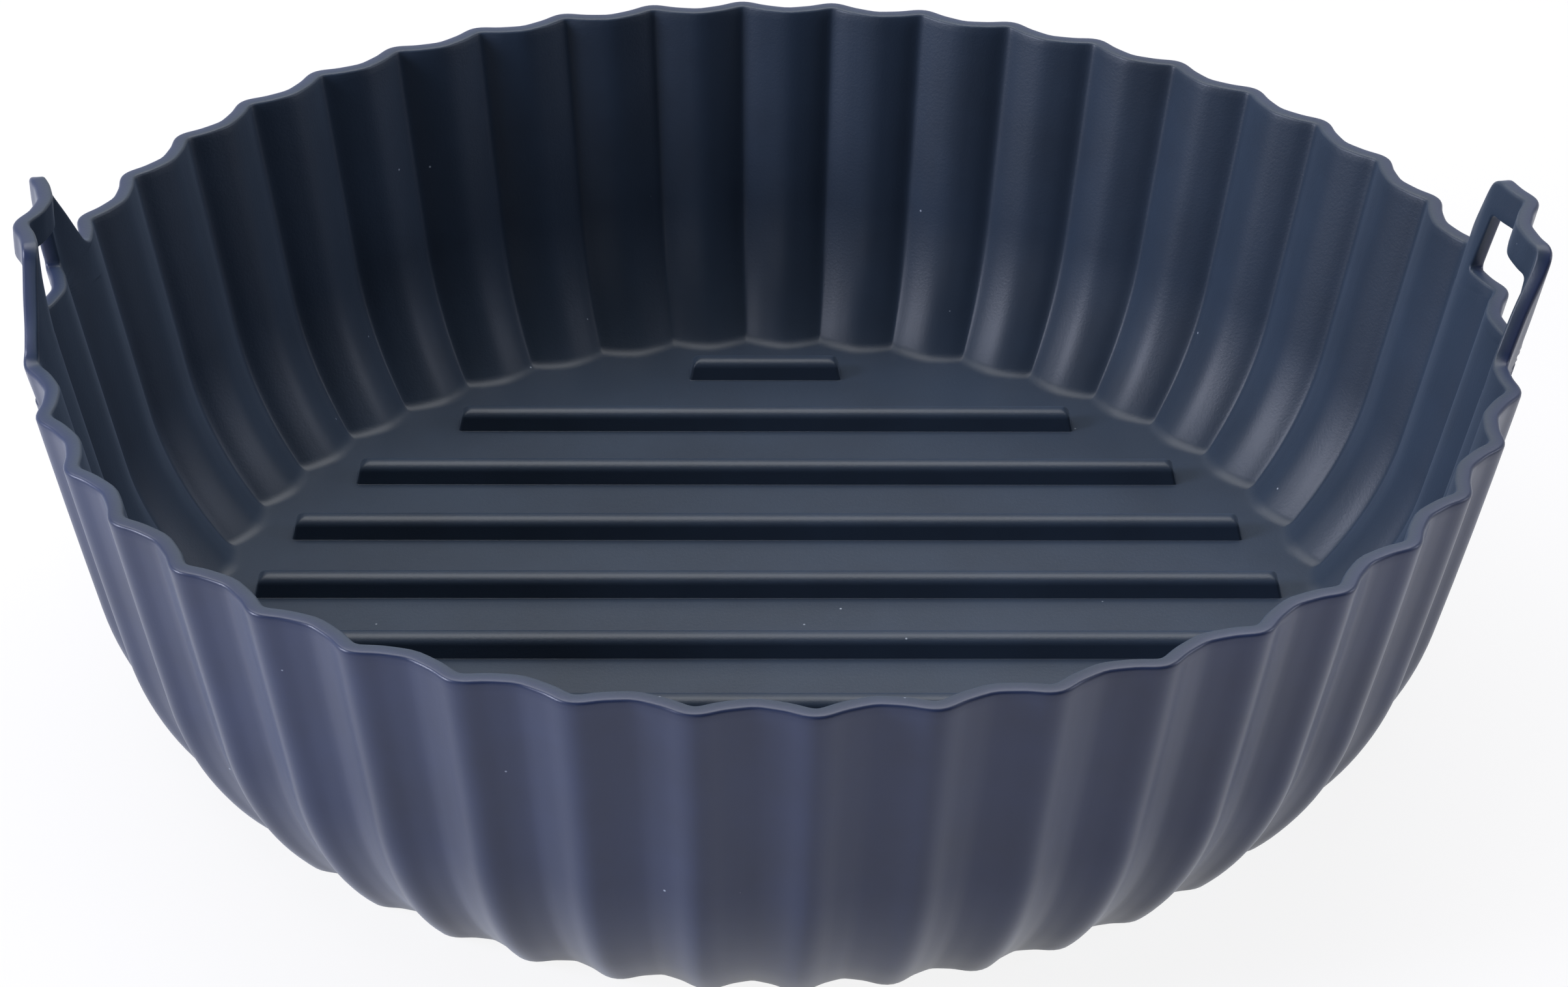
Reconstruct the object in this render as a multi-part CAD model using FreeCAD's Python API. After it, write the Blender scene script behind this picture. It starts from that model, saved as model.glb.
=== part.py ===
import FreeCAD, Part
import math
import os
from FreeCAD import Vector

# Air fryer liner, moulded in silicone as one piece. Millimetres, +Z up.
# The flat underside lies on z = 0 with its middle at the origin. The ribs run along X,
# and the two handles stand on the rim at -X and +X.

# Bowl
rimRadius = 105.0  # outer face at the rim, to the middle of the flutes' wave
rimHeight = 56.4
wallThickness = 2.3
floorThickness = 2.4
wallDraft = 11.6  # degrees off vertical, the straight upper wall
lowerCurveRadius = 50.0  # outer face, where the wall turns in towards the base
footAngle = 43.0  # degrees off vertical, where the wall meets the underside
outerBands = 3  # straight bands that follow the lower curve
innerBands = 2

# Flutes, a smooth wave all round the wall that narrows towards the base
fluteCount = 44
fluteDepth = 2.2  # crest to valley at the rim
fluteFullness = 0.5  # 1 makes the wave of arcs alone, less leaves straight flanks between them

# Ribs on the floor
ribPitch = 16.65
ribWidth = 4.4  # at the floor
ribHeight = 2.4
ribDraft = 13.0  # degrees, sides and ends
ribEdgeRadius = 0.9
ribFieldMargin = 6.0  # edge of the floor to the circle that the ribs fill
ribEndMargin = 0.9  # side of a rib to the chord of that circle that gives its length
ribShortest = 12.0

# Handles, the wall carried on above the rim
handleHeight = 14.7
handleBaseWidth = 36.0
handleTopWidth = 23.0
handleCornerRadius = 3.0
handleRootRadius = 2.5
slotHeight = 9.6  # the slot starts level with the rim
slotBaseWidth = 21.0
slotTopWidth = 19.0
slotCornerRadius = 0.8

draft = math.radians(wallDraft)
halfPitch = math.pi / fluteCount
curveCentreZ = lowerCurveRadius * math.sin(math.radians(footAngle))
curveCentreR = (
    rimRadius - (rimHeight - curveCentreZ) * math.tan(draft) - lowerCurveRadius / math.cos(draft)
)


def polar(radius, angle, z):
    return Vector(radius * math.cos(angle), radius * math.sin(angle), z)


# Radius of a wall face at height z, the wave left out. inset is the depth below the outer face.
def faceRadius(z, inset):
    radius = lowerCurveRadius - inset
    if z > curveCentreZ - radius * math.sin(draft):
        return rimRadius - (rimHeight - z) * math.tan(draft) - inset / math.cos(draft)
    return curveCentreR + math.sqrt(radius ** 2 - (curveCentreZ - z) ** 2)


# One flute at height z: the arc of its crest, a flank, the arc of the valley, a flank.
# Both faces of the wall share the arcs' centres, so the wall keeps its thickness round the wave.
def fluteEdges(index, z, inset):
    middle = (faceRadius(z, 0) + faceRadius(z, wallThickness)) / 2
    offset = faceRadius(z, inset) - middle
    depth = fluteDepth * middle / rimRadius
    arcRadius = fluteFullness * ((middle * halfPitch) ** 2 + depth ** 2) / (4 * depth)
    crestAngle = (2 * index + 0.5) * halfPitch
    valleyAngle = crestAngle + halfPitch
    crest = polar(middle + depth / 2 - arcRadius, crestAngle, z)
    nextCrest = polar(middle + depth / 2 - arcRadius, crestAngle + 2 * halfPitch, z)
    valley = polar(middle - depth / 2 + arcRadius, valleyAngle, z)
    lastValley = polar(middle - depth / 2 + arcRadius, valleyAngle - 2 * halfPitch, z)

    # Outward normal of the flank between the arcs of a crest and of a valley beside it
    def flankNormal(crestCentre, valleyCentre, side):
        span = valleyCentre - crestCentre
        lean = math.acos(min(1.0, 2 * arcRadius / span.Length))
        heading = math.atan2(span.y, span.x) - side * lean
        return Vector(math.cos(heading), math.sin(heading), 0)

    before = flankNormal(crest, lastValley, -1)
    after = flankNormal(crest, valley, 1)
    onward = flankNormal(nextCrest, valley, -1)
    crestArc = Part.Arc(
        crest + before * (arcRadius + offset),
        polar(middle + depth / 2 + offset, crestAngle, z),
        crest + after * (arcRadius + offset),
    )
    valleyArc = Part.Arc(
        valley - after * (arcRadius - offset),
        polar(middle - depth / 2 + offset, valleyAngle, z),
        valley - onward * (arcRadius - offset),
    )
    flank = Part.LineSegment(crestArc.EndPoint, valleyArc.StartPoint)
    nextFlank = Part.LineSegment(valleyArc.EndPoint, nextCrest + onward * (arcRadius + offset))
    return [curve.toShape() for curve in (crestArc, flank, valleyArc, nextFlank)]


def waveEdges(flutes, z, inset):
    return [edge for index in flutes for edge in fluteEdges(index, z, inset)]


# Solid inside one face of the wall, from that face's lower edge to the rim.
# Its sections follow the lower curve in equal turns, then run straight up.
def wallSolid(inset, lowest, bands):
    radius = lowerCurveRadius - inset
    first = math.asin((curveCentreZ - lowest) / radius)
    turns = [first + (draft - first) * i / bands for i in range(bands + 1)]
    heights = [curveCentreZ - radius * math.sin(turn) for turn in turns] + [rimHeight]
    sections = [Part.Wire(waveEdges(range(fluteCount), z, inset)) for z in heights]
    return Part.makeLoft(sections, True, True)


def makeBowl():
    outside = wallSolid(0, 0, outerBands)
    return outside.cut(wallSolid(wallThickness, floorThickness, innerBands))


# Face in the XZ plane with each corner, given as x, z and radius, rounded off
def roundedFace(corners):
    points = [Vector(x, 0, z) for x, z, _ in corners]
    ends = []
    arcs = []
    for i, (_, _, radius) in enumerate(corners):
        back = points[i - 1] - points[i]
        ahead = points[(i + 1) % len(points)] - points[i]
        back.normalize()
        ahead.normalize()
        half = back.getAngle(ahead) / 2
        start = points[i] + back * (radius / math.tan(half))
        end = points[i] + ahead * (radius / math.tan(half))
        ends.append((start, end))
        if radius:
            inward = back + ahead
            inward.normalize()
            middle = points[i] + inward * (radius / math.sin(half) - radius)
            arcs.append(Part.Arc(start, middle, end).toShape())
    lines = [Part.makeLine(ends[i - 1][1], ends[i][0]) for i in range(len(ends))]
    return Part.Face(Part.Wire(Part.__sortEdges__(arcs + lines)))


# Prism of that face, centred on the middle: along Y as drawn, or turned to run along X
def makePrism(corners, length, alongX=False):
    prism = roundedFace(corners).extrude(Vector(0, length, 0))
    prism.translate(Vector(0, -length / 2, 0))
    if alongX:
        prism.rotate(Vector(0, 0, 0), Vector(0, 0, 1), 90)
    return prism


# A drafted bar along X that stands on the floor, with rounded top edges and its foot sunk into it.
# It is what its cross section, run along X, and its side view, run along Y, have in common.
def makeRib(y, halfLength):
    slope = math.tan(math.radians(ribDraft))
    bottom = floorThickness / 2
    top = floorThickness + ribHeight

    def outline(halfWidth):
        low = halfWidth + slope * (floorThickness - bottom)
        high = halfWidth - slope * ribHeight
        return [
            (-low, bottom, 0), (low, bottom, 0),
            (high, top, ribEdgeRadius), (-high, top, ribEdgeRadius),
        ]

    section = makePrism(outline(ribWidth / 2), 3 * halfLength, alongX=True)
    rib = section.common(makePrism(outline(halfLength), 3 * ribWidth))
    rib.translate(Vector(0, y, 0))
    return rib


# Ribs on both sides of the middle line for as long as one fits into the circle on the floor
def makeRibs():
    fieldRadius = faceRadius(floorThickness, wallThickness) - ribFieldMargin
    ribs = []
    y = ribPitch / 2
    while True:
        reach = y + ribWidth / 2 + ribEndMargin
        halfLength = math.sqrt(max(0, fieldRadius ** 2 - reach ** 2))
        if 2 * halfLength < ribShortest:
            return ribs
        ribs += [makeRib(y, halfLength), makeRib(-y, halfLength)]
        y += ribPitch


# What is cut from the wall above the rim, right through along X: all but the handles, and the slot
def handleCuts():
    reach = rimRadius
    top = rimHeight + handleHeight
    around = [
        (-reach, rimHeight, 0),
        (-handleBaseWidth / 2, rimHeight, handleRootRadius),
        (-handleTopWidth / 2, top, handleCornerRadius),
        (handleTopWidth / 2, top, handleCornerRadius),
        (handleBaseWidth / 2, rimHeight, handleRootRadius),
        (reach, rimHeight, 0),
        (reach, top + handleHeight, 0),
        (-reach, top + handleHeight, 0),
    ]
    slot = [
        (-slotBaseWidth / 2, rimHeight, slotCornerRadius),
        (slotBaseWidth / 2, rimHeight, slotCornerRadius),
        (slotTopWidth / 2, rimHeight + slotHeight, slotCornerRadius),
        (-slotTopWidth / 2, rimHeight + slotHeight, slotCornerRadius),
    ]
    return [makePrism(corners, 4 * rimRadius, alongX=True) for corners in (around, slot)]


# The wall carried on above the rim over the flutes that one handle takes, cut to the handle
def makeHandle(middleFlute):
    footReach = handleBaseWidth / 2 + 2 * handleRootRadius
    flutesEachWay = math.ceil(footReach / (2 * halfPitch * faceRadius(rimHeight, wallThickness)))
    flutes = range(middleFlute - flutesEachWay - 1, middleFlute + flutesEachWay)
    sections = []
    for z in (rimHeight, rimHeight + 1.5 * handleHeight):
        outer = waveEdges(flutes, z, 0)
        inner = waveEdges(flutes, z, wallThickness)
        ends = [
            Part.makeLine(outer[0].firstVertex().Point, inner[0].firstVertex().Point),
            Part.makeLine(outer[-1].lastVertex().Point, inner[-1].lastVertex().Point),
        ]
        sections.append(Part.Wire(Part.__sortEdges__(outer + inner + ends)))
    return Part.makeLoft(sections, True, True).cut(handleCuts())


handles = [makeHandle(0), makeHandle(fluteCount // 2)]
liner = makeBowl().fuse(makeRibs() + handles).Solids[0]

os.makedirs("parts", exist_ok=True)
liner.exportStep("parts/liner.step")
print("liner", liner.isValid(), round(liner.Volume), "mm3,", len(liner.Faces), "faces")
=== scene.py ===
# Air fryer liner: one moulding of pigmented silicone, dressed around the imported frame.
# Metres and +Z up as in the frame; the dictionaries give millimetres.
import math

import bmesh
import bpy
import numpy as np
from mathutils import Matrix, Vector


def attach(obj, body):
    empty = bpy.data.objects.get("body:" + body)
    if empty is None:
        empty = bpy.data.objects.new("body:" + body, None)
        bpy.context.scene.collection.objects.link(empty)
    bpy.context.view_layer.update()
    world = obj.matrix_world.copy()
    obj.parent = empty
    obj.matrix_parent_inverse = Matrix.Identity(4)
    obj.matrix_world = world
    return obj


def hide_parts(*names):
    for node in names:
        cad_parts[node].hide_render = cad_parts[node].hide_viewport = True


mm = 0.001
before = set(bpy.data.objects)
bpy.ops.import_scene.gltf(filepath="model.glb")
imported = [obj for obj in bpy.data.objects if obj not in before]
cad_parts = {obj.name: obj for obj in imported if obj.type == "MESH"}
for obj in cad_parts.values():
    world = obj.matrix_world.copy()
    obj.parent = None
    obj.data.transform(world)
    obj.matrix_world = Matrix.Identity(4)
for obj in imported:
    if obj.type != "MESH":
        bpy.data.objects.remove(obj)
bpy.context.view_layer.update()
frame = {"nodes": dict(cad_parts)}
print("frame loaded:", ", ".join(frame["nodes"]))


# Colours are written as sRGB hex and used as linear values
def toLinear(hexColour):
    channels = [int(hexColour[i:i + 2], 16) / 255 for i in (1, 3, 5)]
    linear = [c / 12.92 if c <= 0.04045 else ((c + 0.055) / 1.055) ** 2.4 for c in channels]
    return (*linear, 1.0)


# Adds a node. inputs maps a socket's name or number to a value, to the output that feeds it, or to a
# node whose first output does.
def addNode(tree, kind, inputs=None, **settings):
    node = tree.nodes.new(kind)
    for name, value in settings.items():
        setattr(node, name, value)
    for key, value in (inputs or {}).items():
        if isinstance(value, bpy.types.Node):
            value = value.outputs[0]
        if isinstance(value, bpy.types.NodeSocket):
            tree.links.new(value, node.inputs[key])
        else:
            node.inputs[key].default_value = value
    return node


# A geometry tree with its named inputs; returns the tree and what its input node gives
def startTree(name, inputs):
    tree = bpy.data.node_groups.new(name, "GeometryNodeTree")
    tree.interface.new_socket("Geometry", in_out="INPUT", socket_type="NodeSocketGeometry")
    for socketName, socketType in inputs.items():
        tree.interface.new_socket(socketName, in_out="INPUT", socket_type=socketType)
    tree.interface.new_socket("Geometry", in_out="OUTPUT", socket_type="NodeSocketGeometry")
    return tree, tree.nodes.new("NodeGroupInput").outputs


# Runs a tree on an object's mesh and returns the result as a plain mesh
def runTree(name, mesh, tree, values):
    worker = bpy.data.objects.new(name, mesh)
    bpy.context.scene.collection.objects.link(worker)
    modifier = worker.modifiers.new(name, "NODES")
    modifier.node_group = tree
    for item in tree.interface.items_tree:
        if item.in_out == "INPUT" and item.name in values:
            modifier[item.identifier] = values[item.name]
    evaluated = worker.evaluated_get(bpy.context.evaluated_depsgraph_get())
    result = bpy.data.meshes.new_from_object(evaluated)
    worker.modifiers.remove(modifier)
    bpy.data.objects.remove(worker)
    return result


# Camera at the photograph's viewing angle
camera = {
    "target": (0.0, 0.0, 39.15),
    "distance": 625.6,
    "azimuth": -0.80,
    "elevation": 30.22,
    "roll": 0.466,
    "lens": 97.96,
    "shift": (0.0083, -0.0533),
}


def makeCamera():
    azimuth, elevation, roll = (math.radians(camera[k]) for k in ("azimuth", "elevation", "roll"))
    back = Vector((
        math.sin(azimuth) * math.cos(elevation),
        -math.cos(azimuth) * math.cos(elevation),
        math.sin(elevation),
    ))
    level = Vector((0, 0, 1)).cross(back).normalized()
    upright = back.cross(level)
    right = math.cos(roll) * level + math.sin(roll) * upright
    up = -math.sin(roll) * level + math.cos(roll) * upright
    data = bpy.data.cameras.new("camera")
    data.lens = camera["lens"]
    data.sensor_width = 36.0
    data.shift_x, data.shift_y = camera["shift"]
    data.clip_start = 0.01
    body = bpy.data.objects.new("camera", data)
    bpy.context.scene.collection.objects.link(body)
    turn = Matrix((right, up, back)).transposed().to_4x4()
    place = (Vector(camera["target"]) + back * camera["distance"]) * mm
    body.matrix_world = Matrix.Translation(place) @ turn
    bpy.context.scene.camera = body


makeCamera()
print("camera placed")


# The bowl, with the sizes of the frame's solid and the roundings of the moulding
bowl = {
    "rimRadius": 105.0,  # outer face at the rim, to the middle of the wave
    "rimHeight": 56.4,
    "wall": 2.3,
    "floor": 2.4,
    "draft": 11.6,  # degrees off vertical, the straight upper wall
    "curveRadius": 50.0,  # outer face, where the wall turns in towards the base
    "footAngle": 43.0,
    "flutes": 44,
    "fluteDepth": 2.2,
    "crestSharpness": (0.15, 0.082),  # share of the second and third wave, which narrow the crests
    "columnsPerFlute": 18,
    "columnCrowding": 0.4,  # how much nearer the columns stand at the crests
    "curveRows": 14,
    "rimRoundOutside": 0.6,
    "rimRoundInside": 0.4,
    "footRound": 0.5,
    "floorFillet": 3.2,
    "roundSteps": 4,
    # Rows on the underside and the floor: how far in from the wall's foot, and share of the wave
    "flatRows": [(0.6, 1.0), (2.0, 0.8), (4.5, 0.45), (9.0, 0.15), (16.0, 0.0), (30.0, 0.0), (55.0, 0.0)],
    "weld": 0.002,  # points nearer to each other than this become one
}

draft = math.radians(bowl["draft"])
curveCentreZ = bowl["curveRadius"] * math.sin(math.radians(bowl["footAngle"]))
curveCentreR = (
    bowl["rimRadius"]
    - (bowl["rimHeight"] - curveCentreZ) * math.tan(draft)
    - bowl["curveRadius"] / math.cos(draft)
)


# Radius of a wall face at height z, the wave left out. inset is the depth below the outer face.
def faceRadius(z, inset):
    radius = bowl["curveRadius"] - inset
    if z > curveCentreZ - radius * math.sin(draft):
        straight = bowl["rimRadius"] - (bowl["rimHeight"] - z) * math.tan(draft)
        return straight - inset / math.cos(draft)
    return curveCentreR + math.sqrt(radius ** 2 - (curveCentreZ - z) ** 2)


# Radius to the middle of the wall, and half the wall measured level, at height z
def middleRadius(z):
    return (faceRadius(z, 0) + faceRadius(z, bowl["wall"])) / 2


def halfWall(z):
    return (faceRadius(z, 0) - faceRadius(z, bowl["wall"])) / 2


# Angle round the axis at which a column stands; the same rule as the flute tree's
def columnAngle(column):
    even = 2 * math.pi * column / bowl["columnsPerFlute"]
    return (even + bowl["columnCrowding"] * math.cos(even)) / bowl["flutes"]


# Height and slope of the flutes' wave at a phase; the same rule as the flute tree's
def waveAt(phase):
    second, third = bowl["crestSharpness"]
    wave = np.sin(phase) - second * np.cos(2 * phase) - third * np.sin(3 * phase)
    slope = np.cos(phase) + 2 * second * np.sin(2 * phase) - 3 * third * np.cos(3 * phase)
    return (wave - second) / (1 + third), slope / (1 + third)


# The bowl's cross-section from the middle of the underside round the rim to the middle of the floor.
# Each row is: radius to the middle of the wall, offset from it, height, share of the wave, inner face.
def bowlSection():
    rows = []
    marks = {}
    steps = bowl["roundSteps"]
    rim = bowl["rimHeight"]

    def addRow(radius, z, inside):
        rows.append((middleRadius(z), radius - middleRadius(z), z, 1.0, inside))

    # Underside or floor, from a face's edge to the middle
    def flat(z, radius, inside):
        offset = -halfWall(z) if inside else halfWall(z)
        made = []
        for inset, share in bowl["flatRows"]:
            made.append((radius - offset - inset, offset * share, z, share, inside))
        return made + [(0.0, 0.0, z, 0.0, inside)]

    # Underside and the rounded foot
    slope = math.radians(bowl["footAngle"])
    footReach = bowl["footRound"] * math.tan((math.pi / 2 - slope) / 2)
    footCentre = faceRadius(0, 0) - footReach
    rows += reversed(flat(0.0, footCentre, 0.0))
    for i in range(steps + 1):
        turn = -math.pi / 2 + (math.pi / 2 - slope) * i / steps
        z = bowl["footRound"] * (1 + math.sin(turn))
        addRow(footCentre + bowl["footRound"] * math.cos(turn), z, 0.0)

    # Outer face: lower curve, then straight to the rim
    for i in range(1, bowl["curveRows"] + 1):
        turn = slope + (draft - slope) * i / bowl["curveRows"]
        z = curveCentreZ - bowl["curveRadius"] * math.sin(turn)
        addRow(faceRadius(z, 0), z, 0.0)
    straightStart = curveCentreZ - bowl["curveRadius"] * math.sin(draft)
    windowZ = rim - handle["windowDepth"]
    for i in (1, 2, 3):
        z = straightStart + (windowZ - straightStart) * i / 3
        addRow(faceRadius(z, 0), z, 0.0)
    marks["outerWindow"] = len(rows) - 1
    roundStart = rim - bowl["rimRoundOutside"]
    for i in range(1, handle["windowRows"]):
        z = windowZ + (roundStart - windowZ) * i / handle["windowRows"]
        addRow(faceRadius(z, 0), z, 0.0)
    marks["outerRound"] = len(rows)
    for i in range(steps + 1):
        turn = math.pi / 2 * i / steps
        z = roundStart + bowl["rimRoundOutside"] * math.sin(turn)
        offset = halfWall(z) - bowl["rimRoundOutside"] * (1 - math.cos(turn))
        rows.append((middleRadius(z), offset, z, 1.0, 0.0))

    # Inner face: the rim's other rounding, straight, lower curve, fillet and floor
    roundStart = rim - bowl["rimRoundInside"]
    for i in range(steps, -1, -1):
        turn = math.pi / 2 * i / steps
        z = roundStart + bowl["rimRoundInside"] * math.sin(turn)
        offset = bowl["rimRoundInside"] * (1 - math.cos(turn)) - halfWall(z)
        rows.append((middleRadius(z), offset, z, 1.0, 1.0))
    marks["innerRound"] = len(rows) - 1
    for i in range(handle["windowRows"] - 1, -1, -1):
        z = windowZ + (roundStart - windowZ) * i / handle["windowRows"]
        addRow(faceRadius(z, bowl["wall"]), z, 1.0)
    marks["innerWindow"] = len(rows) - 1
    innerRadius = bowl["curveRadius"] - bowl["wall"]
    straightStart = curveCentreZ - innerRadius * math.sin(draft)
    for i in (2, 1, 0):
        z = straightStart + (windowZ - straightStart) * i / 3
        addRow(faceRadius(z, bowl["wall"]), z, 1.0)
    filletZ = bowl["floor"] + bowl["floorFillet"]
    filletR = curveCentreR + math.sqrt(
        (innerRadius - bowl["floorFillet"]) ** 2 - (curveCentreZ - filletZ) ** 2
    )
    lastTurn = math.asin((curveCentreZ - filletZ) / (innerRadius - bowl["floorFillet"]))
    for i in range(1, bowl["curveRows"]):
        turn = draft + (lastTurn - draft) * i / bowl["curveRows"]
        z = curveCentreZ - innerRadius * math.sin(turn)
        addRow(faceRadius(z, bowl["wall"]), z, 1.0)
    # The fillet steps in along the radius, so the sharp grooves at the wall's foot don't fold
    for i in range(2 * steps + 1):
        turn = lastTurn + (math.pi / 2 - lastTurn) * i / (2 * steps)
        z = filletZ - bowl["floorFillet"] * math.sin(turn)
        radius = filletR + bowl["floorFillet"] * math.cos(turn)
        rows.append((radius + halfWall(z), -halfWall(z), z, 1.0, 1.0))
    rows += flat(bowl["floor"], filletR, 1.0)
    return rows, marks


# Geometry Nodes: turns the cross-section round the axis, with the flutes as a wave in plan.
# The offset runs square to the wave, so the wall keeps its thickness round each flute.
def fluteTree():
    tree, given = startTree("flutedWall", {
        "Columns": "NodeSocketInt",
        "Flutes": "NodeSocketInt",
        "Flute depth": "NodeSocketFloat",
        "Second wave": "NodeSocketFloat",
        "Third wave": "NodeSocketFloat",
        "Crowding": "NodeSocketFloat",
        "Start angle": "NodeSocketFloat",
        "Material": "NodeSocketMaterial",
    })
    columns, flutes = given["Columns"], given["Flutes"]
    second, third = given["Second wave"], given["Third wave"]

    # A grid with a row for each point of the cross-section and a column for each place round the axis
    size = addNode(tree, "GeometryNodeAttributeDomainSize", {"Geometry": given["Geometry"]})
    rows = size.outputs["Point Count"]
    around = addNode(tree, "ShaderNodeMath", {0: columns, 1: 1.0}, operation="ADD")
    grid = addNode(tree, "GeometryNodeMeshGrid", {"Vertices X": around, "Vertices Y": rows})
    index = addNode(tree, "GeometryNodeInputIndex")
    row = addNode(tree, "ShaderNodeMath", {0: index, 1: rows}, operation="MODULO")
    share = addNode(tree, "ShaderNodeMath", {0: index, 1: rows}, operation="DIVIDE")
    column = addNode(tree, "ShaderNodeMath", {0: share}, operation="FLOOR")

    # What the cross-section holds at this row
    samples = {}
    for name in ("offset", "wave", "inside"):
        stored = addNode(tree, "GeometryNodeInputNamedAttribute", {"Name": name}, data_type="FLOAT")
        samples[name] = addNode(tree, "GeometryNodeSampleIndex", {
            "Geometry": given["Geometry"], "Value": stored, "Index": row,
        }, data_type="FLOAT", domain="POINT")
    place = addNode(tree, "GeometryNodeInputPosition")
    sampled = addNode(tree, "GeometryNodeSampleIndex", {
        "Geometry": given["Geometry"], "Value": place, "Index": row,
    }, data_type="FLOAT_VECTOR", domain="POINT")
    section = addNode(tree, "ShaderNodeSeparateXYZ", {0: sampled})

    # Angle round the axis, with the columns crowded at the crests
    turns = addNode(tree, "ShaderNodeMath", {0: column, 1: columns}, operation="DIVIDE")
    fullTurn = addNode(tree, "ShaderNodeMath", {0: flutes, 1: 2 * math.pi}, operation="MULTIPLY")
    even = addNode(tree, "ShaderNodeMath", {0: turns, 1: fullTurn}, operation="MULTIPLY")
    evenCosine = addNode(tree, "ShaderNodeMath", {0: even}, operation="COSINE")
    phase = addNode(tree, "ShaderNodeMath", {
        0: evenCosine, 1: given["Crowding"], 2: even,
    }, operation="MULTIPLY_ADD")
    turned = addNode(tree, "ShaderNodeMath", {0: phase, 1: flutes}, operation="DIVIDE")
    angle = addNode(tree, "ShaderNodeMath", {0: turned, 1: given["Start angle"]}, operation="ADD")

    # The wave and its slope: each is a sum of three sines, with narrow crests and broad valleys.
    # A line of the table gives a sine's order and share, then its function and factor in each sum.
    sums = {"wave": 0.0, "slope": 0.0}
    for order, amount, trend, times, slopeTrend, slopeTimes in (
        (1.0, 1.0, "SINE", 1.0, "COSINE", 1.0),
        (2.0, second, "COSINE", -1.0, "SINE", 2.0),
        (3.0, third, "SINE", -1.0, "COSINE", -3.0),
    ):
        phased = addNode(tree, "ShaderNodeMath", {0: phase, 1: order}, operation="MULTIPLY")
        for key, operation, factor in (("wave", trend, times), ("slope", slopeTrend, slopeTimes)):
            value = addNode(tree, "ShaderNodeMath", {0: phased}, operation=operation)
            scaled = addNode(tree, "ShaderNodeMath", {0: amount, 1: factor}, operation="MULTIPLY")
            sums[key] = addNode(tree, "ShaderNodeMath", {
                0: value, 1: scaled, 2: sums[key],
            }, operation="MULTIPLY_ADD")
    lowered = addNode(tree, "ShaderNodeMath", {0: sums["wave"], 1: second}, operation="SUBTRACT")
    depth = addNode(tree, "ShaderNodeMath", {
        0: samples["wave"], 1: given["Flute depth"],
    }, operation="MULTIPLY")
    waveSpan = addNode(tree, "ShaderNodeMath", {0: third, 1: 2.0, 2: 2.0}, operation="MULTIPLY_ADD")
    half = addNode(tree, "ShaderNodeMath", {0: depth, 1: waveSpan}, operation="DIVIDE")
    radius = addNode(tree, "ShaderNodeMath", {
        0: half, 1: lowered, 2: section.outputs["X"],
    }, operation="MULTIPLY_ADD")
    steepness = addNode(tree, "ShaderNodeMath", {0: half, 1: flutes}, operation="MULTIPLY")
    slope = addNode(tree, "ShaderNodeMath", {0: steepness, 1: sums["slope"]}, operation="MULTIPLY")

    # Out to the wave, on by the offset square to it, and up
    cosine = addNode(tree, "ShaderNodeMath", {0: angle}, operation="COSINE")
    sine = addNode(tree, "ShaderNodeMath", {0: angle}, operation="SINE")
    minusSine = addNode(tree, "ShaderNodeMath", {0: sine, 1: -1.0}, operation="MULTIPLY")
    radial = addNode(tree, "ShaderNodeCombineXYZ", {"X": cosine, "Y": sine})
    sideways = addNode(tree, "ShaderNodeCombineXYZ", {"X": minusSine, "Y": cosine})
    onWave = addNode(tree, "ShaderNodeVectorMath", {0: radial, "Scale": radius}, operation="SCALE")
    leaning = addNode(tree, "ShaderNodeVectorMath", {0: sideways, "Scale": slope}, operation="SCALE")
    square = addNode(tree, "ShaderNodeVectorMath", {0: onWave, 1: leaning}, operation="SUBTRACT")
    normal = addNode(tree, "ShaderNodeVectorMath", {0: square}, operation="NORMALIZE")
    stepOut = addNode(tree, "ShaderNodeVectorMath", {
        0: normal, "Scale": samples["offset"],
    }, operation="SCALE")
    inPlan = addNode(tree, "ShaderNodeVectorMath", {0: onWave, 1: stepOut}, operation="ADD")
    height = addNode(tree, "ShaderNodeCombineXYZ", {"Z": section.outputs["Z"]})
    point = addNode(tree, "ShaderNodeVectorMath", {0: inPlan, 1: height}, operation="ADD")

    marked = addNode(tree, "GeometryNodeStoreNamedAttribute", {
        "Geometry": grid, "Name": "inside", "Value": samples["inside"],
    }, data_type="FLOAT", domain="POINT")
    moved = addNode(tree, "GeometryNodeSetPosition", {"Geometry": marked, "Position": point})
    real = addNode(tree, "GeometryNodeRealizeInstances", {"Geometry": moved})
    painted = addNode(tree, "GeometryNodeSetMaterial", {"Geometry": real, "Material": given["Material"]})
    addNode(tree, "NodeGroupOutput", {"Geometry": painted})
    return tree


# Handles: the fluted wall carried on above the rim, with the same edge rounding all round
handle = {
    "height": 14.7,
    "baseWidth": 36.0,
    "topWidth": 23.0,
    "cornerRadius": 3.0,
    "rootRadius": 2.5,
    "slotHeight": 9.6,
    "slotBaseWidth": 21.0,
    "slotTopWidth": 19.0,
    "slotCornerRadius": 0.8,
    "windowDepth": 6.0,  # the bowl's mesh is opened this far below the rim and woven anew
    "windowRows": 5,
    "windowColumns": (24, 25),  # before and after the middle
    "pointSpacing": 0.5,
    "arcPoints": 8,  # at least
    "weaveRows": 9,
    "collar": 1.2,  # width of the even strip that the weave keeps round the slot
    # How far along the slot's bottom line, and twice along its lower corner, these face it: the
    # window's lower corners, the rim at its sides, and the feet of the arcs at the handle's root
    "weaveShares": (0.22, 0.12, 0.26),
}


def unit(vector):
    return vector / np.linalg.norm(vector)


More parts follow.
